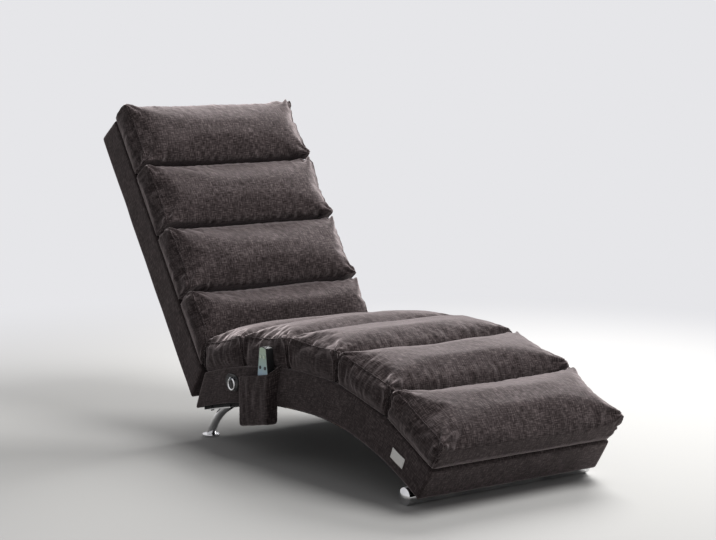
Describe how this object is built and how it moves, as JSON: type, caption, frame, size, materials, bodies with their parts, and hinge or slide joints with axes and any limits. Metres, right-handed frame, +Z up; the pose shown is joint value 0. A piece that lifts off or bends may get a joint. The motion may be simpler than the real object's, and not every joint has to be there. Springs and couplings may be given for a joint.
{
  "type": "massage recliner",
  "caption": "Armless wave-shaped massage recliner with padded cross bolsters, reclining back, recline pull ring, chrome foot tube and rear legs, and a side pocket holding a handset.",
  "frame": {"origin": "on the floor, under the middle of the whole recliner's box", "axes": "+X towards the foot end, +Y towards the sitter's left, +Z up; the pocket and the pull ring are on -Y"},
  "size_m": [1.5718, 0.5882, 0.8788],
  "materials": {
    "upholstery_fabric": "matte",
    "black_lining": "matte",
    "webbing": "matte",
    "frame_timber": "matte",
    "black_board": "satin",
    "chrome_tube": "polished",
    "hinge_steel": "satin",
    "zinc_steel": "satin",
    "black_plastic": "satin",
    "grey_plastic": "satin",
    "button_plastic": "satin",
    "circuit_board": "satin",
    "motor_weight": "satin",
    "heater_film": "satin",
    "tag_cloth": "matte"
  },
  "bodies": {
    "seat": {"seat_bolster_1": "upholstery_fabric", "seat_bolster_2": "upholstery_fabric", "seat_bolster_3": "upholstery_fabric", "seat_bolster_4": "upholstery_fabric", "seat_bolster_5": "upholstery_fabric", "seat_cover": "upholstery_fabric", "side_pocket": "upholstery_fabric", "seat_dust_cover": "black_lining", "seat_webbing": "webbing", "seat_side_boards": "frame_timber", "seat_cross_rails": "frame_timber", "rear_leg_board": "black_board", "front_foot": "chrome_tube", "front_foot_caps": "chrome_tube", "front_foot_bolts": "zinc_steel", "rear_leg_left": "chrome_tube", "rear_leg_right": "chrome_tube", "rear_leg_glides": "chrome_tube", "leg_screws": "zinc_steel", "recliner_seat_plates": "hinge_steel", "seat_plate_bolts": "zinc_steel", "release_bezel": "black_plastic", "release_cable": "black_plastic", "seat_motor_cups": "black_plastic", "seat_motor_cans": "zinc_steel", "control_box_tray": "black_plastic", "control_box_lid": "black_plastic", "control_board": "circuit_board", "power_inlet": "black_plastic", "blank_tag": "tag_cloth"},
    "backrest": {"back_bolster_1": "upholstery_fabric", "back_bolster_2": "upholstery_fabric", "back_bolster_3": "upholstery_fabric", "back_bolster_4": "upholstery_fabric", "back_cover": "upholstery_fabric", "back_rear_panel": "upholstery_fabric", "back_webbing": "webbing", "back_stiles": "frame_timber", "back_rails": "frame_timber", "recliner_back_plates": "hinge_steel", "back_plate_bolts": "zinc_steel", "back_motor_cups": "black_plastic", "back_motor_cans": "zinc_steel", "lumbar_heater_pad": "heater_film"},
    "release_shaft": {"release_shaft": "zinc_steel", "release_shaft_clips": "zinc_steel", "release_lever": "hinge_steel"},
    "release_pull": {"release_pull_rod": "zinc_steel"},
    "d_ring": {"release_d_ring": "chrome_tube"},
    "handset": {"handset_case": "black_plastic", "handset_face": "grey_plastic", "handset_circuit": "circuit_board"},
    "seat_rotor_1": {"seat_motor_weight_1": "motor_weight"},
    "seat_rotor_2": {"seat_motor_weight_2": "motor_weight"},
    "back_rotor_1": {"back_motor_weight_1": "motor_weight"},
    "back_rotor_2": {"back_motor_weight_2": "motor_weight"},
    "button_1": {"handset_button_1": "button_plastic"},
    "button_2": {"handset_button_2": "button_plastic"},
    "button_3": {"handset_button_3": "button_plastic"},
    "button_4": {"handset_button_4": "button_plastic"}
  },
  "joints": [
    {"name": "back_recline", "type": "hinge", "parent": "seat", "child": "backrest", "pos_m": [-0.27344, 0.00915, 0.12294], "axis": [0, -1, 0], "range_deg": [0, 25]},
    {"name": "release_shaft_turn", "type": "hinge", "parent": "seat", "child": "release_shaft", "pos_m": [-0.27344, 0.00915, 0.12294], "axis": [0, 1, 0], "range_deg": [0, 16], "stiffness_Nm_per_rad": 2},
    {"name": "release_pull_slide", "type": "slide", "parent": "seat", "child": "release_pull", "axis": [0, -1, 0], "range_m": [0, 0.0085]},
    {"name": "d_ring_swing", "type": "hinge", "parent": "release_pull", "child": "d_ring", "pos_m": [-0.08212, -0.2748, 0.18436], "axis": [-1, 0, 0], "range_deg": [0, 80]},
    {"name": "handset_lift", "type": "slide", "parent": "seat", "child": "handset", "axis": [0, 0, 1], "range_m": [0, 0.12]},
    {"name": "button_1_press", "type": "slide", "parent": "handset", "child": "button_1", "axis": [0, 1, 0], "range_m": [0, 0.001], "stiffness_N_per_m": 400},
    {"name": "button_2_press", "type": "slide", "parent": "handset", "child": "button_2", "axis": [0, 1, 0], "range_m": [0, 0.001], "stiffness_N_per_m": 400},
    {"name": "button_3_press", "type": "slide", "parent": "handset", "child": "button_3", "axis": [0, 1, 0], "range_m": [0, 0.001], "stiffness_N_per_m": 400},
    {"name": "button_4_press", "type": "slide", "parent": "handset", "child": "button_4", "axis": [0, 1, 0], "range_m": [0, 0.001], "stiffness_N_per_m": 400},
    {"name": "seat_motor_1_spin", "type": "hinge", "parent": "seat", "child": "seat_rotor_1", "pos_m": [-0.0051, 0.00915, 0.17662], "axis": [1, 0, 0], "continuous": true},
    {"name": "seat_motor_2_spin", "type": "hinge", "parent": "seat", "child": "seat_rotor_2", "pos_m": [0.4749, 0.00915, 0.16646], "axis": [1, 0, 0], "continuous": true},
    {"name": "back_motor_1_spin", "type": "hinge", "parent": "backrest", "child": "back_rotor_1", "pos_m": [-0.47276, 0.00915, 0.41722], "axis": [-0.5793, 0, 0.8151], "continuous": true},
    {"name": "back_motor_2_spin", "type": "hinge", "parent": "backrest", "child": "back_rotor_2", "pos_m": [-0.60445, 0.00915, 0.60252], "axis": [-0.5793, 0, 0.8151], "continuous": true}
  ],
  "couplings": [
    {"joint": "release_pull_slide", "follows": "release_shaft_turn", "m_per_rad": 0.0301}
  ]
}
